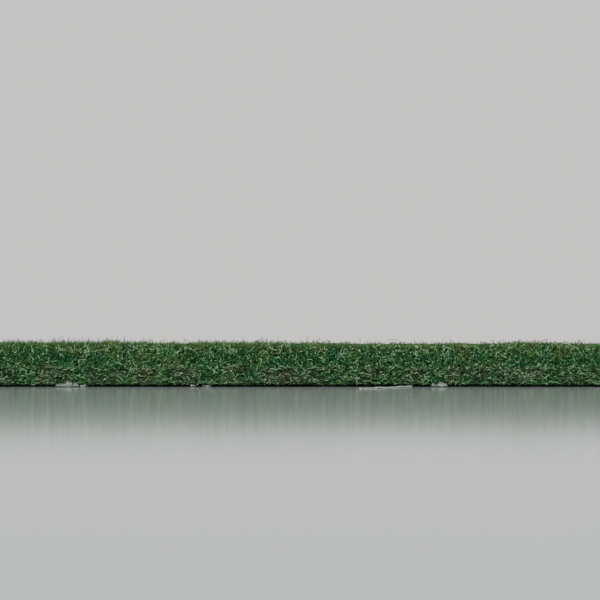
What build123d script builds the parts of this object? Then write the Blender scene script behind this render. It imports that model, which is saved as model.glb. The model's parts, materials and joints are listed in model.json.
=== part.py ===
"""Roll-out practice putting mat of thick sheared turf.

The mat is four bonded layers with plain cut edges. Three round practice cups are die-cut through
all the layers near one end. The far cup stands open. The two nearer cups are closed by plugs, each
a disc of the same four layers that lifts straight out.

Frame: the origin is the middle of the underside, +Z is up, and +Y runs along the mat from the cup
end to the end where the player stands. Millimetres.
"""

import os

from build123d import *

os.makedirs("parts", exist_ok=True)

# Driving dimensions
MAT_WIDTH = 500
MAT_LENGTH = 2400
CORNER_RADIUS = 4

# Layer thicknesses, from the underside up: 9.0 in all
LATEX_THICKNESS = 0.4
FELT_THICKNESS = 3.4
SCRIM_THICKNESS = 0.4
PILE_THICKNESS = 4.8

# Cups: a golf hole is 108 across. The knife leaves a narrow gap all round each plug.
CUP_DIAMETER = 108
KNIFE_GAP = 0.4
FAR_CUP_FROM_END = 190
NEAR_CUPS_FROM_END = 420
NEAR_CUPS_APART = 230

# Worked out from the dimensions above
CUP_RADIUS = CUP_DIAMETER / 2
PLUG_RADIUS = CUP_RADIUS - KNIFE_GAP
CUP_END = -MAT_LENGTH / 2
FAR_CUP = (0, CUP_END + FAR_CUP_FROM_END)
NEAR_CUPS = {
    "left": (-NEAR_CUPS_APART / 2, CUP_END + NEAR_CUPS_FROM_END),
    "right": (NEAR_CUPS_APART / 2, CUP_END + NEAR_CUPS_FROM_END),
}

FELT_BOTTOM = LATEX_THICKNESS
SCRIM_BOTTOM = FELT_BOTTOM + FELT_THICKNESS
PILE_BOTTOM = SCRIM_BOTTOM + SCRIM_THICKNESS


def mat_layer(name, bottom, thickness):
    """One layer of the mat, full size, with the three cups cut through it."""
    with BuildPart() as layer:
        with BuildSketch(Plane.XY.offset(bottom)):
            RectangleRounded(MAT_WIDTH, MAT_LENGTH, CORNER_RADIUS)
            with Locations(FAR_CUP, *NEAR_CUPS.values()):
                Circle(CUP_RADIUS, mode=Mode.SUBTRACT)
        extrude(amount=thickness)
    layer.part.label = name
    export_step(layer.part, f"parts/{name}.step")


def plug_layer(name, centre, bottom, thickness):
    """The disc that one layer leaves when a cup is cut, less the width of the knife."""
    with BuildPart() as layer:
        with BuildSketch(Plane.XY.offset(bottom)):
            with Locations(centre):
                Circle(PLUG_RADIUS)
        extrude(amount=thickness)
    layer.part.label = name
    export_step(layer.part, f"parts/{name}.step")


# The mat: an anti-slip latex film, a needled felt base, the woven scrim that the pile is punched
# through, and the sheared pile on top
mat_layer("latex_backing", 0, LATEX_THICKNESS)
mat_layer("felt_base", FELT_BOTTOM, FELT_THICKNESS)
mat_layer("scrim", SCRIM_BOTTOM, SCRIM_THICKNESS)
mat_layer("turf_pile", PILE_BOTTOM, PILE_THICKNESS)

# The plugs of the two near cups
for side, centre in NEAR_CUPS.items():
    plug_layer(f"{side}_plug_latex", centre, 0, LATEX_THICKNESS)
    plug_layer(f"{side}_plug_felt", centre, FELT_BOTTOM, FELT_THICKNESS)
    plug_layer(f"{side}_plug_scrim", centre, SCRIM_BOTTOM, SCRIM_THICKNESS)
    plug_layer(f"{side}_plug_pile", centre, PILE_BOTTOM, PILE_THICKNESS)
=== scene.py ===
"""Looks of the practice putting mat: needle-punched turf with plain cut edges, on a pale floor.

Each CAD layer is stood for by a slab whose walls are set back a little, and separate fibres fill
the cut faces in front of those walls. They are finest along the middle of the cup-end edge, which
is what the camera looks at from close by. Only there do separate tips and hairs stand on top too.
"""

import json
import math
from collections.abc import Callable
from dataclasses import dataclass, replace

import bmesh
import bpy
import numpy as np
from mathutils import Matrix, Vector
from mathutils.geometry import delaunay_2d_cdt


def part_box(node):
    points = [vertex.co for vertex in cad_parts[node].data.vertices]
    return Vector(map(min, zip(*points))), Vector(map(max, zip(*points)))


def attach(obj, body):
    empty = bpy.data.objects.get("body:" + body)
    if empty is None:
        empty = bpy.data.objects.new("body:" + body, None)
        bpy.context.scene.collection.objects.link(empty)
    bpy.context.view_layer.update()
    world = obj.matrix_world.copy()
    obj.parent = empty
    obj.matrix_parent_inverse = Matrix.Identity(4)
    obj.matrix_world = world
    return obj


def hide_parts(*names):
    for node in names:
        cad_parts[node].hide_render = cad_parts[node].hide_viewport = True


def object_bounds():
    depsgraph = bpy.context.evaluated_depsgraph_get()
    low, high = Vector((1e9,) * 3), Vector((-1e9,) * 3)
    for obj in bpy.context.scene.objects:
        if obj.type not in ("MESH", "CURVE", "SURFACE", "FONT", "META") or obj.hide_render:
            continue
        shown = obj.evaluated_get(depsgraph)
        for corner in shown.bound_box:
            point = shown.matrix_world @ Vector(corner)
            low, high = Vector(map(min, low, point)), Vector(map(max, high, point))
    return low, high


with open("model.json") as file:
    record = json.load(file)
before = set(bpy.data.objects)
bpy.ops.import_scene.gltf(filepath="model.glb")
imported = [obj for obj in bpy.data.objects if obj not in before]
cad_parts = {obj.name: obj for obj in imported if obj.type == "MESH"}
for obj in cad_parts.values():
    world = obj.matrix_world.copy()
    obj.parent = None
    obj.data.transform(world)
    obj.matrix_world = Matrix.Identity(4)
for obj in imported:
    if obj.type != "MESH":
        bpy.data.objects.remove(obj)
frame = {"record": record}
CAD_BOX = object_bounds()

MM = 0.001

# ---------------------------------------------------------------- sizes, from the frame

LOW, HIGH = CAD_BOX
HALF_X = HIGH.x
HALF_Y = HIGH.y
CUP_END = LOW.y
FELT_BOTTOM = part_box("felt_base")[0].z
SCRIM_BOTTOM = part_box("scrim")[0].z
PILE_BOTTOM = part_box("turf_pile")[0].z
PILE_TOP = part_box("turf_pile")[1].z
CORNER_RADIUS = 4 * MM  # the CAD's own, which the frame doesn't tell
SIDES = ("left", "right")

cup_mount = next(m for m in frame["record"]["mounts"] if m["name"] == "cup")
CUP_RADIUS = cup_mount["dims"]["r_mm"] * MM
FAR_CUP = cup_mount["pos_m"][:2]
PLUG_BOX = {side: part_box(f"{side}_plug_pile") for side in SIDES}
PLUG_RADIUS = (PLUG_BOX["left"][1].x - PLUG_BOX["left"][0].x) / 2
PLUG_CENTRE = {
    side: ((low.x + high.x) / 2, (low.y + high.y) / 2) for side, (low, high) in PLUG_BOX.items()
}
CUPS = [FAR_CUP, *PLUG_CENTRE.values()]

WALL_INSET = 1.2 * MM        # how far the slabs' walls stand behind the cut
RIM_SHARE = 0.4              # the same round the cups and plugs, as a share of that
CLOSE_HALF_LENGTH = 74 * MM  # half of the stretch of edge that the camera sees from close by

# ---------------------------------------------------------------- small helpers


def unit(v):
    return v / np.maximum(np.linalg.norm(v, axis=-1, keepdims=True), 1e-12)


PATCH_WAVES = 14  # how many plane waves make up one random field


def patches(rng, u, v, size):
    """A smooth random field over u and v, about -1.5 to 1.5, with patches about size across."""
    total = np.zeros_like(u)
    for _ in range(PATCH_WAVES):
        angle = rng.uniform(0, math.tau)
        wave = math.tau / size * rng.uniform(0.5, 1.3)
        total += np.sin(wave * (u * math.cos(angle) + v * math.sin(angle)) + rng.uniform(0, math.tau))
    return total / math.sqrt(PATCH_WAVES / 2)


def smoothstep(low, high, x):
    t = np.clip((x - low) / (high - low), 0, 1)
    return t * t * (3 - 2 * t)


def new_object(name, vertices, faces, materials, material_index=None):
    """A smooth-shaded mesh. faces is a list of arrays, each with a row of corner numbers to a face."""
    mesh = bpy.data.meshes.new(name)
    corners = np.concatenate([group.ravel() for group in faces])
    sizes = np.concatenate([np.full(len(group), group.shape[1]) for group in faces])
    mesh.vertices.add(len(vertices))
    mesh.vertices.foreach_set("co", np.asarray(vertices, np.float32).ravel())
    mesh.loops.add(len(corners))
    mesh.loops.foreach_set("vertex_index", corners.astype(np.int32))
    mesh.polygons.add(len(sizes))
    mesh.polygons.foreach_set("loop_start", (np.cumsum(sizes) - sizes).astype(np.int32))
    for material in materials:
        mesh.materials.append(material)
    if material_index is not None:
        mesh.polygons.foreach_set("material_index", np.asarray(material_index, np.int32))
    mesh.update(calc_edges=True)
    mesh.shade_smooth()
    obj = bpy.data.objects.new(name, mesh)
    bpy.context.scene.collection.objects.link(obj)
    return obj


# ---------------------------------------------------------------- materials

# Texture scales, in features to a metre
TIP_SCALE = 1900     # single tips of the sheared pile
TUFT_SCALE = 780     # its tufts
CLUMP_SCALE = 130    # clumps of tufts
MOTTLE_SCALE = 28    # darker and lighter areas
NAP_SCALE = 9        # brushed streaks
STROKE_SCALE = 1500  # the deep fibres behind a cut
PEBBLE_SCALE = 900   # the grain of the rubber film
WEAVE_SCALE = 150    # the scrim's tapes, of which the wave texture makes about 480 to a metre

TIP_BEND = 2.2 * MM  # how far the tips' noise bends the tufts' outlines
# The depths that the bumps in a surface stand for
TUFT_BUMP = 0.8 * MM
STROKE_BUMP = 0.3 * MM
PEBBLE_BUMP = 0.15 * MM


def new_material(name):
    material = bpy.data.materials.new(name)
    material.use_nodes = True
    return material, material.node_tree, material.node_tree.nodes["Principled BSDF"]


def noise_node(tree, scale, detail=3.0, stretch=(1, 1, 1)):
    """A noise texture over the object's own coordinates, stretched along their axes."""
    place = tree.nodes.new("ShaderNodeTexCoord")
    mapping = tree.nodes.new("ShaderNodeMapping")
    mapping.inputs["Scale"].default_value = stretch
    noise = tree.nodes.new("ShaderNodeTexNoise")
    noise.inputs["Scale"].default_value = scale
    noise.inputs["Detail"].default_value = detail
    tree.links.new(place.outputs["Object"], mapping.inputs["Vector"])
    tree.links.new(mapping.outputs["Vector"], noise.inputs["Vector"])
    return noise


def ramp_node(tree, source, stops):
    """A colour ramp fed by source; stops are (position, colour)."""
    ramp = tree.nodes.new("ShaderNodeValToRGB")
    elements = ramp.color_ramp.elements
    while len(elements) < len(stops):
        elements.new(0.5)
    for element, (position, colour) in zip(elements, stops):
        element.position = position
        element.color = (*colour, 1)
    tree.links.new(source, ramp.inputs["Fac"])
    return ramp


def multiply_node(tree, first, second, factor):
    mix = tree.nodes.new("ShaderNodeMix")
    mix.data_type = "RGBA"
    mix.blend_type = "MULTIPLY"
    mix.inputs["Factor"].default_value = factor
    tree.links.new(first, mix.inputs["A"])
    tree.links.new(second, mix.inputs["B"])
    return mix.outputs["Result"]


def bump_node(tree, source, distance, strength=1.0):
    bump = tree.nodes.new("ShaderNodeBump")
    bump.inputs["Distance"].default_value = distance
    bump.inputs["Strength"].default_value = strength
    tree.links.new(source, bump.inputs["Height"])
    return bump.outputs["Normal"]


def turf_material(name, dark, middle, light, nap):
    """Sheared pile from above: tufts lighter on top with painted shade in the gaps between them, clumps of
    them, mottling and brushed streaks.
    """
    material, tree, shader = new_material(name)
    tips = noise_node(tree, TIP_SCALE, 3)
    tufts = tree.nodes.new("ShaderNodeTexVoronoi")
    tufts.inputs["Scale"].default_value = TUFT_SCALE
    place = tree.nodes.new("ShaderNodeTexCoord")
    bent = tree.nodes.new("ShaderNodeVectorMath")
    bent.operation = "MULTIPLY_ADD"
    bent.inputs[1].default_value = (TIP_BEND,) * 3
    tree.links.new(tips.outputs["Color"], bent.inputs[0])
    tree.links.new(place.outputs["Object"], bent.inputs[2])
    tree.links.new(bent.outputs["Vector"], tufts.inputs["Vector"])
    # Painted light and shade: the tufts' middles take the light colour, the gaps between them the dark
    lit_tufts_and_painted_gap_shade = [(0.12, light), (0.36, middle), (0.62, dark)]
    mixed = ramp_node(tree, tufts.outputs["Distance"], lit_tufts_and_painted_gap_shade).outputs["Color"]
    # Each noise darkens what lies under it: fully below its low value and not at all above its high.
    shades = (
        (tips, 0.36, (0.45, 0.50, 0.42), 0.60),
        (noise_node(tree, CLUMP_SCALE, 4), 0.36, (0.52, 0.57, 0.48), 0.64),
        (noise_node(tree, MOTTLE_SCALE, 3), 0.34, (0.58, 0.64, 0.60), 0.66),
        (noise_node(tree, NAP_SCALE, 2, nap), 0.36, (0.68, 0.74, 0.72), 0.64),
    )
    for noise, low, shade, high in shades:
        ramp = ramp_node(tree, noise.outputs["Fac"], [(low, shade), (high, (1, 1, 1))])
        mixed = multiply_node(tree, mixed, ramp.outputs["Color"], 1)
    tree.links.new(mixed, shader.inputs["Base Color"])
    height = ramp_node(tree, tufts.outputs["Distance"], [(0.1, (1, 1, 1)), (0.6, (0, 0, 0))])
    rough = multiply_node(tree, height.outputs["Color"], tips.outputs["Fac"], 0.6)
    tree.links.new(bump_node(tree, rough, TUFT_BUMP), shader.inputs["Normal"])
    shader.inputs["Roughness"].default_value = 0.85
    shader.inputs["Sheen Weight"].default_value = 0.2
    shader.inputs["Sheen Roughness"].default_value = 0.4
    shader.inputs["Sheen Tint"].default_value = (0.55, 0.75, 0.45, 1)
    shader.inputs["Specular IOR Level"].default_value = 0.25
    return material


def wall_material(name, dark, light, stretch):
    """The deep fibres behind a cut edge: short light strokes over near-black gaps, which are painted shade.
    """
    material, tree, shader = new_material(name)
    strokes = noise_node(tree, STROKE_SCALE, 2, stretch)
    colour = ramp_node(tree, strokes.outputs["Fac"], [(0.42, dark), (0.66, light)])
    tree.links.new(colour.outputs["Color"], shader.inputs["Base Color"])
    tree.links.new(bump_node(tree, strokes.outputs["Fac"], STROKE_BUMP), shader.inputs["Normal"])
    shader.inputs["Roughness"].default_value = 0.9
    shader.inputs["Specular IOR Level"].default_value = 0.1
    return material


def weave_material(name, colour, dark):
    """Woven tapes: two crossed sets of fine waves."""
    material, tree, shader = new_material(name)
    place = tree.nodes.new("ShaderNodeTexCoord")
    waves = []
    for direction in ("X", "Y"):
        wave = tree.nodes.new("ShaderNodeTexWave")
        wave.bands_direction = direction
        wave.inputs["Scale"].default_value = WEAVE_SCALE
        wave.inputs["Distortion"].default_value = 0.6
        tree.links.new(place.outputs["Object"], wave.inputs["Vector"])
        ramp = ramp_node(tree, wave.outputs["Fac"], [(0.1, dark), (0.6, colour)])
        waves.append(ramp.outputs["Color"])
    tree.links.new(multiply_node(tree, *waves, 1), shader.inputs["Base Color"])
    shader.inputs["Roughness"].default_value = 0.6
    return material


def latex_material(name, blotches, milky, stained):
    """Milky rubber film with the green of the felt showing through its thin places.

    blotches is the scale of those places."""
    material, tree, shader = new_material(name)
    thin = noise_node(tree, blotches, 5)
    colour = ramp_node(tree, thin.outputs["Fac"], [(0.38, stained), (0.56, milky)])
    pebble = noise_node(tree, PEBBLE_SCALE, 2)
    tree.links.new(colour.outputs["Color"], shader.inputs["Base Color"])
    tree.links.new(bump_node(tree, pebble.outputs["Fac"], PEBBLE_BUMP), shader.inputs["Normal"])
    shader.inputs["Roughness"].default_value = 0.45
    return material


# The dyes that the fibres are spun from, at their lightest. They lie side by side on a fibre's map.
FIBRE_DYES = {
    "teal": (0.056, 0.380, 0.118),
    "deep": (0.080, 0.395, 0.105),
    "green": (0.120, 0.415, 0.102),
    "moss": (0.172, 0.435, 0.094),
    "olive": (0.232, 0.455, 0.095),
    "grey": (0.160, 0.375, 0.150),
    "brown": (0.240, 0.330, 0.140),
}
DYE = {dye: i / (len(FIBRE_DYES) - 1) for i, dye in enumerate(FIBRE_DYES)}
DYE_STEP = DYE["deep"]
# The colour of fibres painted as highlights; at the scrim it also stands for the real pale yarns
GLINT = (0.58, 0.81, 0.50)
GLINT_FROM = 0.90     # how far up the map the fibres begin to take that colour: painted highlights, and at the scrim its real pale yarns
FIBRE_MAP = "OFBake"  # the UV map that holds each fibre's place on the fibre map
# How light a dye is at places up the map, as a share of its lightest
LIGHT_STEPS = ((0, 0.10), (0.3, 0.24), (0.55, 0.46), (0.8, 0.76), (1, 1))


def fibre_material():
    """Dyed fibres. A fibre's place on its UV map says its dye, across, and how light it is, upwards; near
    the top of the map it is mixed towards a painted highlight.
    """
    material, tree, shader = new_material("dyed_fibre")
    place = tree.nodes.new("ShaderNodeUVMap")
    place.uv_map = FIBRE_MAP
    split = tree.nodes.new("ShaderNodeSeparateXYZ")
    tree.links.new(place.outputs["UV"], split.inputs["Vector"])
    dye = ramp_node(tree, split.outputs["X"], list(zip(DYE.values(), FIBRE_DYES.values())))
    light = ramp_node(tree, split.outputs["Y"], [(at, (x, x, x)) for at, x in LIGHT_STEPS])
    dyed = multiply_node(tree, dye.outputs["Color"], light.outputs["Color"], 1)
    # Painted highlight: the lightest places on the map are mixed towards GLINT
    highlight_and_pale_yarn_mix = ramp_node(tree, split.outputs["Y"], [(GLINT_FROM, (0, 0, 0)), (1, (0.9, 0.9, 0.9))])
    mix = tree.nodes.new("ShaderNodeMix")
    mix.data_type = "RGBA"
    mix.inputs["B"].default_value = (*GLINT, 1)
    tree.links.new(highlight_and_pale_yarn_mix.outputs["Color"], mix.inputs["Factor"])
    tree.links.new(dyed, mix.inputs["A"])
    tree.links.new(mix.outputs["Result"], shader.inputs["Base Color"])
    shader.inputs["Roughness"].default_value = 0.5
    shader.inputs["Specular IOR Level"].default_value = 0.25
    material.diffuse_color = (0.08, 0.2, 0.06, 1)
    return material


FIBRE = fibre_material()

PILE_TOP_MATERIAL = turf_material(
    "pile_tips", (0.020, 0.055, 0.014), (0.125, 0.275, 0.070), (0.290, 0.480, 0.150), (3, 0.35, 1)
)
PLUG_TOP_MATERIAL = turf_material(
    "plug_pile_tips", (0.024, 0.062, 0.018), (0.150, 0.315, 0.088), (0.330, 0.530, 0.180), (0.5, 2.2, 1)
)
# Near-black walls behind the fibres: the deep fibres' tone with painted shade in the gaps between them
PILE_WALL_SHADE = wall_material("pile_wall_painted_shade", (0.003, 0.017, 0.003), (0.030, 0.080, 0.024), (1.4, 1.4, 0.6))
FELT_WALL_SHADE = wall_material("felt_wall_painted_shade", (0.004, 0.013, 0.004), (0.030, 0.058, 0.030), (0.7, 0.7, 2.0))
# The film's set-back edge, all near-black: painted shade of the gap under the felt
FILM_EDGE_SHADE = wall_material("film_edge_painted_shade", (0.006, 0.008, 0.006), (0.030, 0.040, 0.030), (1, 1, 1))
SCRIM_WEAVE = weave_material("scrim_weave", (0.16, 0.24, 0.14), (0.05, 0.09, 0.05))
LATEX_FILM = latex_material("latex_film", 160, (0.66, 0.69, 0.64), (0.30, 0.38, 0.30))
LATEX_TAB = latex_material("torn_latex", 1300, (0.36, 0.38, 0.34), (0.08, 0.13, 0.08))
LATEX_SLIVER = latex_material("latex_sliver", 900, (0.70, 0.71, 0.70), (0.45, 0.48, 0.44))

# ---------------------------------------------------------------- slabs for the layers

CORNER_POINTS = 4  # to each of the mat's round corners


def arc_points(centre, radius, start, end, count):
    angles = np.linspace(start, end, count)
    return np.stack([centre[0] + radius * np.cos(angles), centre[1] + radius * np.sin(angles)], 1)


def mat_outline(inset, spacing):
    """The mat's outer loop, set in by inset, with points about spacing apart, anticlockwise."""
    hx, hy = HALF_X - inset, HALF_Y - inset
    r = max(CORNER_RADIUS - inset, 0.5 * MM)
    points = []
    for sx, sy, start in ((1, -1, -90), (1, 1, 0), (-1, 1, 90), (-1, -1, 180)):
        centre = (sx * (hx - r), sy * (hy - r))
        turn = math.radians(start), math.radians(start + 90)
        points.append(arc_points(centre, r, *turn, CORNER_POINTS))
    loop = []
    for i, corner in enumerate(points):
        following = points[(i + 1) % 4][0]
        count = max(2, round(float(np.linalg.norm(following - corner[-1])) / spacing))
        between = np.linspace(corner[-1], following, count + 1)[1:-1]
        loop += [corner, between]
    return np.concatenate(loop)


def circle_loop(centre, radius, spacing, nominal):
    count = round(math.tau * nominal / spacing)
    return arc_points(centre, radius, 0, math.tau, count + 1)[:-1]


def mat_loops(inset, spacing):
    cups = [circle_loop(c, CUP_RADIUS + RIM_SHARE * inset, spacing / 2, CUP_RADIUS) for c in CUPS]
    # The count along the straight sides must not change with inset, so it comes from the cut size.
    return [resampled_outline(inset, spacing), *cups]


def resampled_outline(inset, spacing):
    base = mat_outline(0, spacing)
    inward = -outward_normals(base)
    moved = base + inward * inset
    limit = np.array([HALF_X - inset, HALF_Y - inset])
    return np.clip(moved, -limit, limit)


def plug_loops(centre):
    def loops(inset, spacing):
        return [circle_loop(centre, PLUG_RADIUS - RIM_SHARE * inset, spacing / 2, PLUG_RADIUS)]

    return loops


def outward_normals(loop):
    """Normals that point out of an anticlockwise loop."""
    along = unit(np.roll(loop, -1, 0) - np.roll(loop, 1, 0))
    return np.stack([along[:, 1], -along[:, 0]], 1)


def inside_loop(points, loop):
    """Whether each point lies inside the loop, by the even-odd rule."""
    x, y = points[:, 0, None], points[:, 1, None]
    (x0, y0), (x1, y1) = loop.T, np.roll(loop, -1, 0).T
    crosses = (y0[None] > y) != (y1[None] > y)
    with np.errstate(divide="ignore", invalid="ignore"):
        at = x0[None] + (y - y0[None]) * (x1 - x0)[None] / (y1 - y0)[None]
    return (crosses & (x < at)).sum(1) % 2 == 1


def triangulated(loops, spacing):
    """Points and triangles that fill the first loop less the others; the loops' points come first."""
    outer = loops[0]
    low, high = outer.min(0), outer.max(0)
    nx, ny = (max(2, round(float(s) / spacing)) for s in high - low)
    columns = np.linspace(low[0], high[0], nx + 1)
    rows = np.linspace(low[1], high[1], ny + 1)
    grid = np.stack(np.meshgrid(columns, rows), -1).reshape(-1, 2)
    every = np.concatenate(loops)
    keep = inside_loop(grid, outer)
    for hole in loops[1:]:
        keep &= ~inside_loop(grid, hole)
    grid = grid[keep]
    far = np.full(len(grid), np.inf)
    for start in range(0, len(every), 500):
        part = every[start : start + 500]
        far = np.minimum(far, np.linalg.norm(grid[:, None] - part[None], axis=2).min(1))
    grid = grid[far > 0.6 * spacing]
    points = np.concatenate([every, grid])
    edges, first = [], 0
    for loop in loops:
        count = len(loop)
        edges += [(first + i, first + (i + 1) % count) for i in range(count)]
        first += count
    out, _, faces, origins, _, _ = delaunay_2d_cdt([Vector(p) for p in points.tolist()], edges, [], 0, 1e-7)
    if len(out) != len(points):
        raise ValueError("the outline crosses itself")
    order = [o[0] for o in origins]
    faces = np.array([[order[i] for i in f] for f in faces])
    middle = points[faces].mean(1)
    keep = inside_loop(middle, outer)
    for hole in loops[1:]:
        keep &= ~inside_loop(middle, hole)
    return points, faces[keep]


ROUNDING_MIDDLE = 0.3  # where the ring halfway round a rounded edge lies, as a share of the rounding


def slab(name, loops_at, bottom, top, spacing, inset, rounding, materials, lift=None):
    """A closed slab with walls set in by inset and its upper edges rounded over by rounding.

    materials are those of the top, the wall and the underside; lift raises the top's points."""
    levels = [(0, bottom), (0, top - rounding)]
    if rounding > 0:
        middle = ROUNDING_MIDDLE * rounding
        levels += [(middle, top - middle), (rounding, top)]
    rings = [loops_at(inset + more, spacing) for more, _ in levels]
    flat, faces = triangulated(rings[-1], spacing)
    counts = [len(loop) for loop in rings[-1]]
    rim = sum(counts)
    inner = flat[rim:]

    def level(points, z):
        return np.column_stack([points, np.full(len(points), z)])

    upper = level(flat, top)
    if lift is not None:
        upper[:, 2] += lift(upper[:, 0], upper[:, 1])
    lower = level(np.concatenate([np.concatenate(rings[0]), inner]), bottom)
    middles = [level(np.concatenate(r), z) for r, (_, z) in zip(rings[1:-1], levels[1:-1])]
    vertices = np.concatenate([lower, *middles, upper])
    starts = [0, *[len(lower) + i * rim for i in range(len(middles) + 1)]]
    all_faces = [faces[:, ::-1], faces + starts[-1]]
    kinds = [2] * len(faces) + [0] * len(faces)
    first = 0
    for number, count in enumerate(counts):
        here = first + np.arange(count)
        following = first + (np.arange(count) + 1) % count
        for a, b in zip(starts[:-1], starts[1:]):
            quads = np.stack([here + a, following + a, following + b, here + b], 1)
            if number > 0:
                quads = quads[:, ::-1]
            all_faces.append(quads)
            kinds += [1 if b != starts[-1] or rounding == 0 else 0] * count
        first += count
    obj = new_object(name, vertices, all_faces, materials, kinds)
    tidy = bmesh.new()
    tidy.from_mesh(obj.data)
    bmesh.ops.recalc_face_normals(tidy, faces=tidy.faces)
    tidy.to_mesh(obj.data)
    tidy.free()
    return obj


def pile_unevenness(x, y):
    """How far the sheared top strays from level: long soft waves and small tufts."""
    rng = np.random.default_rng(11)
    waves = 0.06 * patches(rng, x, y, 90 * MM) + 0.05 * patches(rng, x, y, 22 * MM)
    return (waves - 0.10) * MM


def ragged(loops_at, low, high, seed):
    """The same loops with torn edges: their points are set in by between low and high."""

    def loops(inset, spacing):
        rng = np.random.default_rng(seed)
        torn = []
        for number, loop in enumerate(loops_at(inset, spacing)):
            inward = -outward_normals(loop) if number == 0 else outward_normals(loop)
            along = np.cumsum(np.linalg.norm(loop - np.roll(loop, 1, 0), axis=1))
            wander = patches(rng, along, along * 0, 14 * MM) + 0.6 * rng.normal(size=len(loop))
            torn.append(loop + inward * (low + (high - low) * smoothstep(-1.5, 1.5, wander))[:, None])
        return torn

    return loops


LAYER_GAP = 0.02 * MM       # left between two slabs, so that no faces coincide
PILE_SUNK = 0.25 * MM       # how far the pile's slab stops short of the sheared top
PILE_ROUNDING = 0.9 * MM
FILM_TORN = (1.4 * MM, 3.2 * MM)  # the least and the most that the film stops short of the cut
SCRIM_INSET = 0.7 * WALL_INSET


def layers(prefix, names, loops_at, body, coarse, pile_top):
    """The four layers of the mat or of a plug, from the floor up, each standing for its CAD node."""
    pile, scrim, felt, latex = names
    made = [
        slab(f"{prefix}latex_film", ragged(loops_at, *FILM_TORN, 5), 0.0, FELT_BOTTOM - LAYER_GAP,
             coarse / 2, 0.0, 0.0, [LATEX_FILM, FILM_EDGE_SHADE, LATEX_FILM]),
        slab(f"{prefix}felt_core", loops_at, FELT_BOTTOM, SCRIM_BOTTOM - LAYER_GAP,
             coarse, WALL_INSET, 0.0, [FELT_WALL_SHADE] * 3),
        slab(f"{prefix}scrim_cloth", loops_at, SCRIM_BOTTOM, PILE_BOTTOM - LAYER_GAP,
             coarse, SCRIM_INSET, 0.0, [SCRIM_WEAVE] * 3),
        slab(f"{prefix}pile_core", loops_at, PILE_BOTTOM, PILE_TOP - PILE_SUNK,
             coarse, WALL_INSET, PILE_ROUNDING, [pile_top, PILE_WALL_SHADE, SCRIM_WEAVE], pile_unevenness),
    ]
    for piece, node, slot in zip(made, (latex, felt, scrim, pile), ("latex", "felt", "scrim", "pile")):
        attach(piece, body)
        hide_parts(node)
    return made


layers("", ("turf_pile", "scrim", "felt_base", "latex_backing"), mat_loops, "mat",
       10 * MM, PILE_TOP_MATERIAL)
for side in SIDES:
    nodes = [f"{side}_plug_{layer}" for layer in ("pile", "scrim", "felt", "latex")]
    layers(f"{side}_plug_", nodes, plug_loops(PLUG_CENTRE[side]), f"{side}_plug",
           5 * MM, PLUG_TOP_MATERIAL)

# ---------------------------------------------------------------- fibres


@dataclass
class Band:
    """How the fibres of one layer lie in a cut face. Directions are shares, lengths are metres."""

    name: str
    slot: str
    low: float
    high: float
    floor: float
    ceiling: float
    along: float
    outward: float
    upright: float
    dyes: Callable
    light: tuple = (0.47, 0.33)
    # glints: the share of fibres painted as highlights; at the scrim they stand for its pale yarns
    glints: float = 0.07
    inset: float = WALL_INSET
    proud: float = 0.10 * MM
    length: float = 1.7 * MM
    steps: int = 7
    curl: float = 0.95
    shake: float = 0.30
    radius: tuple = (0.044 * MM, 0.078 * MM)


@dataclass
class EdgePoints:
    """Places along a cut edge: the point, the direction along the edge, the direction out of the
    face and the distance along the edge, one row to a fibre."""

    base: np.ndarray
    along: np.ndarray
    out: np.ndarray
    where: np.ndarray

    def chosen(self, mask):
        return EdgePoints(self.base[mask], self.along[mask], self.out[mask], self.where[mask])


def loop_points(rng, loop, per_metre):
    """Points at random along a closed loop. The way out is to the right of the loop's direction."""
    ahead = np.roll(loop, -1, 0) - loop
    lengths = np.linalg.norm(ahead, axis=1)
    ends = np.cumsum(lengths)
    where = rng.uniform(0, ends[-1], round(per_metre * ends[-1]))
    run = np.searchsorted(ends, where)
    share = 1 - (ends[run] - where) / lengths[run]
    along = unit(ahead)[run]
    out = np.stack([along[:, 1], -along[:, 0]], 1)
    return EdgePoints(loop[run] + ahead[run] * share[:, None], along, out, where)


def pile_dyes(rng, along, height):
    """Olive and a little lighter at the tips, which is partly painted light on them; patches of rich green
    and blue-green below.
    """
    hue = 1.3 + 0.95 * patches(rng, along, height, 6 * MM) + 0.3 * rng.normal(size=len(along))
    # Towards olive near the sheared top: partly painted light on the tips
    hue += 1.9 * smoothstep(PILE_TOP - 2.4 * MM, PILE_TOP - 0.3 * MM, height)
    hue += 0.5 * (1 - smoothstep(PILE_BOTTOM, PILE_BOTTOM + 1.5 * MM, height))
    return np.clip(hue * DYE_STEP, DYE["teal"], DYE["olive"])


def felt_dyes(rng, along, height):
    """Greyer greens, with a few brownish patches."""
    field = patches(rng, along, height, 6 * MM) + 0.4 * rng.normal(size=len(along))
    dyes = np.full(len(along), DYE["grey"])
    dyes[field < -0.4] = DYE["green"]
    dyes[field < -1.2] = DYE["deep"]
    dyes[field > 1.2] = DYE["brown"]
    return dyes + 0.2 * DYE_STEP * rng.normal(size=len(along))


PILE_BAND = Band(
    name="pile", slot="pile", low=PILE_BOTTOM - 0.2 * MM, high=PILE_TOP - 0.3 * MM,
    floor=SCRIM_BOTTOM, ceiling=PILE_TOP - 0.05 * MM, along=0.60, outward=0.5, upright=1.25,
    dyes=pile_dyes, curl=0.75, shake=0.25,
)
FELT_BAND = Band(
    name="felt", slot="felt", low=0.65 * MM, high=PILE_BOTTOM + 0.1 * MM,
    floor=0.48 * MM, ceiling=PILE_BOTTOM + 0.4 * MM, along=2.2, outward=0.4, upright=0.22,
    dyes=felt_dyes, light=(0.38, 0.37), glints=0.16, curl=0.30, shake=0.15, radius=(0.040 * MM, 0.070 * MM),
)
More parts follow.
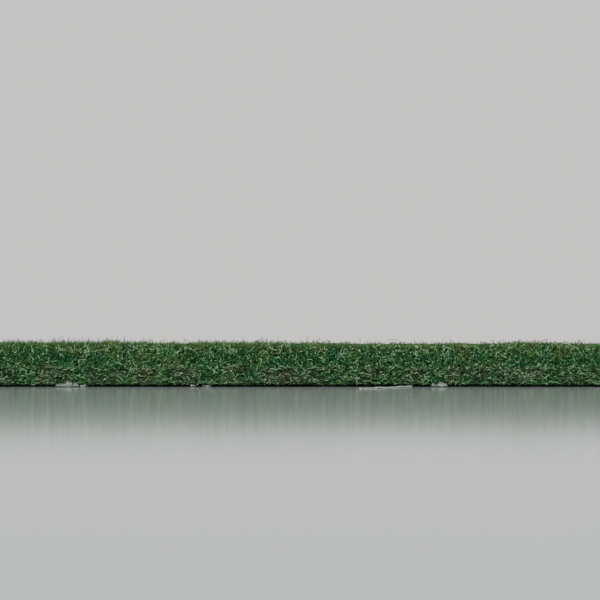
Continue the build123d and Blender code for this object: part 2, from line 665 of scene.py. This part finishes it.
# The pale flat yarns and pulled fibres along the scrim, between the pile and the felt
SCRIM_BAND = Band(
    name="scrim", slot="scrim", low=SCRIM_BOTTOM - 0.3 * MM, high=PILE_BOTTOM + 0.4 * MM,
    floor=SCRIM_BOTTOM - 0.7 * MM, ceiling=PILE_BOTTOM + 0.9 * MM, along=1.6, outward=0.3, upright=0.3,
    dyes=felt_dyes, glints=0.45, inset=0.3 * MM, curl=0.5, length=2.8 * MM,
)
BANDS = (PILE_BAND, SCRIM_BAND, FELT_BAND)


# The sheared top by the camera isn't quite level: it stands a little high, and falls to the right.
SKYLINE_RAISED = 0.06 * MM
SKYLINE_FALL = 0.005


def skyline(x):
    """How far the sheared tips by the camera rise and fall along the edge."""
    rng = np.random.default_rng(12)
    waves = (0.12 * patches(rng, x, x * 0, 26 * MM) + 0.14 * patches(rng, x, x * 0, 4 * MM)) * MM
    return SKYLINE_RAISED - SKYLINE_FALL * x + waves


def curled(rng, starts, headings, steps, step, curl, shake):
    """Lines that leave starts along headings and curl round axes of their own: (n, steps + 1, 3)."""
    count = len(starts)
    heading = unit(headings)
    axis = unit(rng.normal(size=(count, 3)))
    turn = rng.normal(0, curl, (count, 1))
    points = [starts]
    for _ in range(steps):
        heading = unit(heading + turn * np.cross(axis, heading) + rng.normal(0, shake, (count, 3)))
        points.append(points[-1] + heading * step[:, None])
    return np.stack(points, 1)


# How far the colour wanders on the fibre map round a tube and along it, and how a tube's radius
# tapers: the share of its length, and the share of its radius there
WANDER_ROUND = 0.012
WANDER_ALONG = 0.04
TAPER = ((0, 0.7), (0.2, 1), (0.8, 1), (1, 0.4))


def tubes(name, body, lines, radii, dye, light):
    """Three-sided tubes round the lines, closed at both ends, as one piece.

    dye and light, from 0 to 1, say where each tube lies on the fibre map; along its length it
    wanders a little round that place."""
    count, rings, _ = lines.shape
    tangents = unit(np.gradient(lines, axis=1))
    bow = lines[:, rings // 2] - lines[:, 0] + [1e-5, 2e-5, 3e-5]
    side = unit(np.cross(tangents, unit(np.cross(lines[:, -1] - lines[:, 0], bow))[:, None]))
    up = np.cross(side, tangents)
    taper = np.interp(np.linspace(0, 1, rings), *zip(*TAPER))
    angles = (np.arange(3) * math.tau / 3)[None, None, :, None]
    around = side[:, :, None] * np.cos(angles) + up[:, :, None] * np.sin(angles)
    vertices = lines[:, :, None] + around * (radii[:, None] * taper)[:, :, None, None]

    ring = np.arange(rings - 1) * 3
    pairs = ((0, 1), (1, 2), (2, 0))
    sides = [np.stack([ring + a, ring + b, ring + 3 + b, ring + 3 + a], 1) for a, b in pairs]
    quads = np.concatenate(sides)
    last = 3 * (rings - 1)
    ends = np.array([[2, 1, 0], [last, last + 1, last + 2]])
    first = (np.arange(count) * rings * 3)[:, None, None]
    quads = (first + quads).reshape(-1, 4)
    ends = (first + ends).reshape(-1, 3)
    obj = new_object(name, vertices.reshape(-1, 3), [quads, ends], [FIBRE])

    across = np.broadcast_to((np.arange(3) - 1) * WANDER_ROUND, (count, rings, 3))
    upwards = np.linspace(-WANDER_ALONG, WANDER_ALONG, rings)
    upwards = np.broadcast_to(upwards[None, :, None], (count, rings, 3))
    place = np.stack([dye[:, None, None] + across, light[:, None, None] + upwards], -1)
    place = np.clip(place, 0.01, 0.99).reshape(-1, 2)
    corners = np.concatenate([quads.ravel(), ends.ravel()])
    layer = obj.data.uv_layers.new(name=FIBRE_MAP)
    layer.data.foreach_set("uv", place[corners].astype(np.float32).ravel())
    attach(obj, body)
    return obj


# The fibres painted as highlights (at the scrim, its real pale yarns): the mean and spread of their place
# on the fibre map, and their length as a share of the others'
GLINT_LIGHT = (0.95, 0.07)
GLINT_LENGTH = 0.38
# Painted light on the fibres at the sheared top: how much lighter they are, and how far below the top that
# begins and is complete
TOP_PAINTED_LIGHT = 0.11
TOP_PAINTED_LIGHT_DEPTHS = (3.2 * MM, 1.0 * MM)
LENGTH_SPREAD = (0.7, 1.25)  # the shortest and the longest fibres, as a share of the band's length
# How unevenly fibres stand out of the face, as a share of the band's, and past its top and bottom
PROUD_SPREAD = 1.2
CEILING_SPREAD = 0.12 * MM
FLOOR_SPREAD = 0.08 * MM


def grow_in_face(name, body, band, points, rng, unevenness=None):
    """Fibres of one band in a cut face, one at each of the edge points."""
    count = len(points.base)
    along, out = (np.hstack([way, np.zeros((count, 1))]) for way in (points.along, points.out))
    up = rng.uniform(band.low, band.high, count)
    # Fibres painted as highlights, set near the face; at the scrim they stand for its real pale yarns
    glint = rng.random(count) < band.glints
    near_the_face = rng.uniform(-0.3, 1, count) * band.proud
    at_any_depth = rng.uniform(-band.inset, band.proud, count)
    depth = np.where(glint, near_the_face, at_any_depth)
    starts = np.column_stack([points.base, up]) + out * depth[:, None]
    spread = rng.normal(size=(count, 3)) * [band.along, band.outward, band.upright]
    heading = along * spread[:, :1] + out * spread[:, 1:2] + [0, 0, 1] * spread[:, 2:]
    step = rng.uniform(*LENGTH_SPREAD, count) * np.where(glint, GLINT_LENGTH, 1) * band.length / band.steps
    lines = curled(rng, starts, heading, band.steps, step, band.curl, band.shake)
    lines -= (lines[:, band.steps // 2] - starts)[:, None]
    # What would stand out of the face or past the layer is pressed back, a few fibres less than others.
    outward = ((lines[:, :, :2] - points.base[:, None]) * points.out[:, None]).sum(2)
    limit = band.proud * (1 + rng.exponential(PROUD_SPREAD, count))[:, None]
    excess = np.maximum(outward - limit, 0)
    lines -= out[:, None] * excess[..., None]
    ceiling = band.ceiling + rng.exponential(CEILING_SPREAD, count)
    if unevenness is not None:
        ceiling += unevenness(points.base[:, 0])
    radii = rng.uniform(*band.radius, count)
    lowest = np.maximum(band.floor - rng.exponential(FLOOR_SPREAD, count), 1.1 * radii)
    lines[:, :, 2] = np.clip(lines[:, :, 2], lowest[:, None], ceiling[:, None])
    light = np.where(glint, GLINT_LIGHT[0], band.light[0])
    light += np.where(glint, GLINT_LIGHT[1], band.light[1]) * rng.normal(size=count)
    begins, complete = TOP_PAINTED_LIGHT_DEPTHS
    # Painted light where the sheared tips catch the lamp
    light += TOP_PAINTED_LIGHT * smoothstep(PILE_TOP - begins, PILE_TOP - complete, up)
    tubes(name, body, lines, radii, band.dyes(rng, points.where, up), light)


# Fibres to each cubic millimetre behind the stretch of cut face by the camera, and the pieces that
# the stretch is split into
CLOSE_DENSITY = {"pile": 12.5, "scrim": 3.2, "felt": 12.5}
CLOSE_STRETCHES = 4


def close_edge():
    """The stretch of cut edge that the camera sees: every fibre at its real thickness."""
    rng = np.random.default_rng(21)
    ends = np.linspace(-CLOSE_HALF_LENGTH, CLOSE_HALF_LENGTH, CLOSE_STRETCHES + 1)
    for band in BANDS:
        face = (band.high - band.low) * (band.inset + band.proud) / MM**2
        for number, (low, high) in enumerate(zip(ends[:-1], ends[1:])):
            count = round(face * (high - low) / MM * CLOSE_DENSITY[band.name])
            x = rng.uniform(low, high, count)
            base = np.column_stack([x, np.full(count, CUP_END)])
            ways = np.tile([1.0, 0.0], (count, 1)), np.tile([0.0, -1.0], (count, 1))
            points = EdgePoints(base, *ways, x)
            grow_in_face(f"near_{band.name}_fibres_{number + 1}", "mat", band, points, rng, skyline)


def coarser(band, proud, recess=0.0):
    """The same band with thicker, longer and lighter fibres, for the edges away from the camera.

    They stop short of the layer's top by recess."""
    return replace(
        band, inset=0.4 * MM, proud=proud, length=2.6 * MM, steps=4, curl=1.1,
        radius=(0.09 * MM, 0.15 * MM), high=band.high - recess, ceiling=band.ceiling - recess,
        light=(band.light[0] + 0.20, 0.8 * band.light[1]), glints=0.4 * band.glints,
    )


FRINGE_PER_METRE = {"pile": 3150, "scrim": 450, "felt": 2600}


def far_edges():
    """The rest of the mat's outline, one piece to a layer and side."""
    rng = np.random.default_rng(31)
    for band in BANDS:
        points = loop_points(rng, mat_outline(0, 10 * MM), FRINGE_PER_METRE[band.name])
        x, y = points.base.T
        near = y < CUP_END + CORNER_RADIUS
        far = y > HALF_Y - CORNER_RADIUS
        parts = {
            "cup_end": near & (abs(x) > CLOSE_HALF_LENGTH),
            "stance_end": far,
            "left": (x < 0) & ~near & ~far,
            "right": (x > 0) & ~near & ~far,
        }
        for side, mask in parts.items():
            name = f"{side}_{band.name}_fibres"
            grow_in_face(name, "mat", coarser(band, band.proud), points.chosen(mask), rng)


# Round the cups and plugs: how far the fibres stop short of the layer's top, which leaves the knife's
# groove, how far they stand out of the cut, and how many there are to one on the mat's outline
RIM_RECESS = {"pile": 0.8 * MM, "scrim": 0.0, "felt": 0.0}
RIM_PROUD = 0.03 * MM
RIM_DENSITY = 1.3


def cup_walls():
    """The cut faces round the cups, and round the plugs that close two of them."""
    rng = np.random.default_rng(32)
    names = ("far", "left", "right")
    for band in BANDS:
        per_metre = RIM_DENSITY * FRINGE_PER_METRE[band.name]
        coarse = coarser(band, RIM_PROUD, RIM_RECESS[band.name])
        for name, centre in zip(names, CUPS):
            wall = circle_loop(centre, CUP_RADIUS, 5 * MM, CUP_RADIUS)[::-1]
            points = loop_points(rng, wall, per_metre)
            grow_in_face(f"{name}_cup_{band.name}_fibres", "mat", coarse, points, rng)
        for side in SIDES:
            rim = circle_loop(PLUG_CENTRE[side], PLUG_RADIUS, 5 * MM, PLUG_RADIUS)
            points = loop_points(rng, rim, per_metre)
            grow_in_face(f"{side}_plug_{band.name}_fibres", f"{side}_plug", coarse, points, rng)


# How many separate tips, fine hairs and random stray hairs stand on top of the mat by the camera, and
# how far along the edge the stray ones go, in mm
TIPS = 7600
FUZZ_HAIRS = 4500
STRAY_HAIRS = 150
STRAY_REACH = 73
# How far in from the edge the tips and the fuzz stand: on average, and at most
TIPS_SET_BACK = (5 * MM, 28 * MM)
FUZZ_SET_BACK = (8 * MM, 40 * MM)
TIP_RADII = (0.04 * MM, 0.07 * MM)
FUZZ_RADII = (0.022 * MM, 0.045 * MM)
STRAY_RADII = (0.028 * MM, 0.045 * MM)


def set_back(rng, mean, most, count):
    """Places in from the cup-end edge, along y, closest together at the edge."""
    return CUP_END + np.minimum(rng.exponential(mean, count), most) - 0.1 * MM


def close_tips():
    """The sheared tips on top of the mat, just behind the stretch of edge that the camera sees."""
    rng = np.random.default_rng(22)
    count = TIPS
    x = rng.uniform(-CLOSE_HALF_LENGTH, CLOSE_HALF_LENGTH, count)
    y = set_back(rng, *TIPS_SET_BACK, count)
    base = np.column_stack([x, y, PILE_TOP - rng.uniform(0.7, 1.0, count) * MM])
    heading = np.column_stack([rng.normal(0, 0.35, (count, 2)), np.ones(count)])
    rise = (1.17 + 0.12 * patches(rng, x, y, 3 * MM) + 0.12 * rng.normal(size=count)) * MM + skyline(x)
    steps = 4
    lines = curled(rng, base, heading, steps, rise / steps, 0.3, 0.12)
    light = 0.46 + 0.22 * rng.normal(size=count)
    radii = rng.uniform(*TIP_RADII, count)
    tubes("near_pile_tips", "mat", lines, radii, pile_dyes(rng, x, lines[:, -1, 2]), light)


def close_fuzz():
    """Fine hairs that stand above the sheared tips and blur the skyline of the pile."""
    rng = np.random.default_rng(23)
    count = FUZZ_HAIRS
    x = rng.uniform(-CLOSE_HALF_LENGTH, CLOSE_HALF_LENGTH, count)
    y = set_back(rng, *FUZZ_SET_BACK, count)
    base = np.column_stack([x, y, PILE_TOP - rng.uniform(0.5, 0.9, count) * MM])
    heading = np.column_stack([rng.normal(0, 0.8, (count, 2)), np.ones(count)])
    rise = (1.00 + np.minimum(rng.exponential(0.18, count), 1.0)) * MM + skyline(x)
    steps = 7
    lines = curled(rng, base, heading, steps, rise * 1.45 / steps, 0.75, 0.25)
    # Dark brown: painted shade of hairs seen against the bright backdrop
    dye = np.full(count, DYE["brown"])
    light = 0.3 + 0.1 * rng.normal(size=count)
    tubes("near_pile_fuzz", "mat", lines, rng.uniform(*FUZZ_RADII, count), dye, light)


# Hairs that stand clear of the pile by the camera: place along the edge, width and rise, in mm.
# An arch comes down again at its far end, and a spike leans out over its width.
ARCHES = ((17.8, 3.9, 1.1), (-28.0, 1.6, 0.5), (38.2, 2.2, 0.6), (-57.0, 1.3, 0.5), (58.5, 1.8, 0.7))
SPIKES = ((48.9, 4.2, 1.2), (-36.4, -0.5, 0.8), (-12.6, 0.6, 0.8), (27.0, -1.2, 0.7), (-61.0, 0.4, 0.7))


def stray_hairs():
    """Loose hairs over the top of the edge: the few that the camera picks out, and a random many."""
    rng = np.random.default_rng(24)
    share = np.linspace(0, 1, 9)
    arch = (1 - np.abs(2 * share - 1) ** 3) ** (1 / 3)
    spike = share**0.8
    places = [(*hair, arch) for hair in ARCHES] + [(*hair, spike) for hair in SPIKES]
    for _ in range(STRAY_HAIRS):
        shape = arch if rng.random() < 0.5 else spike
        width = rng.uniform(0.4, 2.2) * rng.choice([-1, 1])
        x = rng.uniform(-STRAY_REACH, STRAY_REACH)
        rise = 0.15 + min(rng.exponential(0.25), 0.9)
        places.append((x, width, rise, shape))
    lines = []
    for x, width, rise, shape in places:
        sway = 0.12 * MM * rng.normal(size=(len(share), 3)).cumsum(0) * 0.5
        line = np.column_stack([(x + width * share) * MM, share * 0, PILE_TOP + (rise * shape - 0.1) * MM])
        line[:, 1] = CUP_END + rng.uniform(0.2, 5) * MM
        lines.append(line + sway * share[:, None])
    count = len(lines)
    # Dark brown: painted shade of hairs seen against the bright backdrop
    dye = np.full(count, DYE["brown"])
    radii = rng.uniform(*STRAY_RADII, count)
    tubes("stray_hairs", "mat", np.array(lines), radii, dye, 0.3 + 0.1 * rng.normal(size=count))


# ---------------------------------------------------------------- torn backing

# Tabs of backing that the knife left hanging out under the edge by the camera, in mm: where each
# starts and ends along the edge, how far it reaches out, and how high it is folded up against the edge.
TABS = {
    "backing_tab_ragged": (-51.4, -46.8, 2.6, 0.95),
    "backing_tab_remnant": (-46.4, -45.1, 1.4, 0.25),
    "backing_tab_curl": (-23.1, -22.2, 2.0, 0.60),
    "backing_tab_bits": (-20.5, -18.8, 1.2, 0.20),
    "backing_tab_lump": (27.8, 31.0, 3.2, 0.95),
}
TAB_ROOT = 3.5        # how far inside the edge a tab leaves the film, in mm
TAB_THICKNESS = 0.14  # in mm
TAB_COLUMN = 0.10     # the spacing of a tab's points along the edge, in mm
TAB_ROWS = 20


def closed_sheet(name, under, thickness, material):
    """A thin closed sheet: its lower side is a grid of points, (columns, rows, 3)."""
    columns, rows, _ = under.shape
    total = columns * rows
    upper = under + [0, 0, 1] * thickness[..., None]
    number = np.arange(total).reshape(columns, rows)
    corners = [number[:-1, :-1], number[1:, :-1], number[1:, 1:], number[:-1, 1:]]
    cells = np.stack(corners, -1).reshape(-1, 4)
    rim = np.concatenate([number[:, 0], number[-1, 1:], number[-2::-1, -1], number[0, -2:0:-1]])
    after = np.roll(rim, -1)
    wall = np.stack([rim, after, after + total, rim + total], 1)
    vertices = np.concatenate([under.reshape(-1, 3), upper.reshape(-1, 3)])
    sheet = new_object(name, vertices, [cells[:, ::-1], cells + total, wall], [material])
    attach(sheet, "mat")


def backing_tab(name, low, high, reach, rise, seed):
    """One torn tab: it leaves the film under the mat, folds up against the edge and comes down again."""
    rng = np.random.default_rng(seed)
    columns = max(8, round((high - low) / TAB_COLUMN))
    along = np.linspace(0, 1, columns)
    x_even = low + (high - low) * along
    torn = 0.85 + 0.20 * patches(rng, x_even, along * 0, 1.3) + 0.18 * patches(rng, x_even, along * 0, 0.4)
    ends = np.sin(math.pi * np.clip(along, 0.04, 0.96)) ** 0.4
    lip = np.clip(torn, 0.15, 1.1) * ends
    across, outwards = np.meshgrid(along, np.linspace(0, 1, TAB_ROWS), indexing="ij")
    y = TAB_ROOT - (TAB_ROOT + reach * (0.5 + 0.5 * lip[:, None])) * outwards
    x = low + (high - low) * across + 0.10 * patches(rng, across * (high - low), outwards * 4, 0.8)
    fold = smoothstep(-0.3, 0.5, -y) * (1 - smoothstep(0.5, reach, -y))
    z = 0.04 + rise * lip[:, None] * fold
    z += 0.10 * np.clip(patches(rng, x, y, 0.6), -1, 1.5) * fold
    under = np.stack([x * MM, CUP_END + y * MM, np.maximum(z, 0.02) * MM], -1)
    thickness = TAB_THICKNESS * MM * (0.8 + 0.4 * rng.random((columns, TAB_ROWS)))
    closed_sheet(name, under, thickness, LATEX_TAB)


# A sliver of film, cut nearly free: where it leaves the edge and where it ends, along the edge and
# out from it, in mm. It lies on the floor and slants away from the mat.
SLIVER_ROOT = (23.4, 1.5)
SLIVER_END = (12.1, -21.0)
SLIVER_WIDTH = 0.9
SLIVER_THICKNESS = 0.17
SLIVER_BOW = 0.9  # how far its middle strays from the straight line


def backing_sliver():
    """The sliver: a ragged strip that tapers towards its far end and lifts a little off the floor."""
    rng = np.random.default_rng(46)
    columns, rows = 60, 4
    share = np.linspace(0, 1, columns)
    root, end = np.array(SLIVER_ROOT), np.array(SLIVER_END)
    middle = root + (end - root) * share[:, None]
    middle[:, 0] += SLIVER_BOW * np.sin(math.pi * share)
    middle += 0.10 * np.stack([patches(rng, share, share * 0, 0.2), patches(rng, share, share * 0, 0.2)], 1)
    ahead = unit(np.gradient(middle, axis=0))
    sideways = np.stack([-ahead[:, 1], ahead[:, 0]], 1)
    width = SLIVER_WIDTH * (1 - 0.55 * share) * (1 + 0.2 * patches(rng, share, share * 0, 0.12))
    offset = np.linspace(-0.5, 0.5, rows)
    points = middle[:, None] + sideways[:, None] * (width[:, None] * offset)[..., None]
    height = 0.02 + 0.06 * np.clip(patches(rng, share, share * 0, 0.25), 0, 1.5)
    z = np.broadcast_to(height[:, None], (columns, rows))
    under = np.dstack([points[..., 0] * MM, CUP_END + points[..., 1] * MM, z * MM])
    thickness = np.full((columns, rows), SLIVER_THICKNESS * MM)
    closed_sheet("backing_sliver", under[:, ::-1], thickness, LATEX_SLIVER)


close_edge()
close_tips()
close_fuzz()
stray_hairs()
far_edges()
cup_walls()
for number, (name, sizes) in enumerate(TABS.items()):
    backing_tab(name, *sizes, seed=40 + number)
backing_sliver()

# ---------------------------------------------------------------- floor, light and camera

EYE_DISTANCE = 450 * MM   # from the eye to the cut edge
EYE_HEIGHT = 9.15 * MM    # just above the top of the pile
EDGE_SEEN = 127 * MM      # the length of edge that fills the width of the picture
LOOK_UP = math.radians(1.175)
SENSOR_WIDTH = 36
BACKDROP = (0.552, 0.546, 0.541)
FLOOR_COLOUR = (0.42, 0.455, 0.455)
FLOOR_ROUGHNESS = 0.10
FLOOR_ACROSS = 120        # metres, so that its far edge is the horizon
FLOOR_DROP = 0.02 * MM    # how far the floor lies below the film, so that they don't coincide
# Each light's name, strength and angular size, its tilt from straight above and its turn, in degrees
LIGHTS = (("key", 2.0, 20, 48, -20), ("fill", 0.35, 90, 62, 25))


def floor():
    material, _, shader = new_material("floor_finish")
    shader.inputs["Base Color"].default_value = (*FLOOR_COLOUR, 1)
    shader.inputs["Roughness"].default_value = FLOOR_ROUGHNESS
    bpy.ops.mesh.primitive_plane_add(size=FLOOR_ACROSS, location=(0, 0, -FLOOR_DROP))
    plane = bpy.context.object
    plane.name = "floor"
    plane.data.materials.append(material)


def lights():
    world = bpy.data.worlds.new("studio")
    bpy.context.scene.world = world
    world.use_nodes = True
    world.node_tree.nodes["Background"].inputs["Color"].default_value = (*BACKDROP, 1)
    for name, strength, spread, tilt, turn in LIGHTS:
        lamp = bpy.data.lights.new(name, "SUN")
        lamp.energy = strength
        lamp.angle = math.radians(spread)
        obj = bpy.data.objects.new(name, lamp)
        obj.rotation_euler = (math.radians(tilt), 0, math.radians(turn))
        bpy.context.scene.collection.objects.link(obj)


def camera():
    data = bpy.data.cameras.new("camera")
    data.sensor_width = SENSOR_WIDTH
    data.lens = data.sensor_width * EYE_DISTANCE / EDGE_SEEN
    data.clip_start = 0.01
    obj = bpy.data.objects.new("camera", data)
    obj.location = (0, CUP_END - EYE_DISTANCE, EYE_HEIGHT)
    obj.rotation_euler = (math.radians(90) + LOOK_UP, 0, 0)
    bpy.context.scene.collection.objects.link(obj)
    bpy.context.scene.camera = obj


floor()
lights()
camera()
bpy.context.scene.view_settings.view_transform = "Standard"
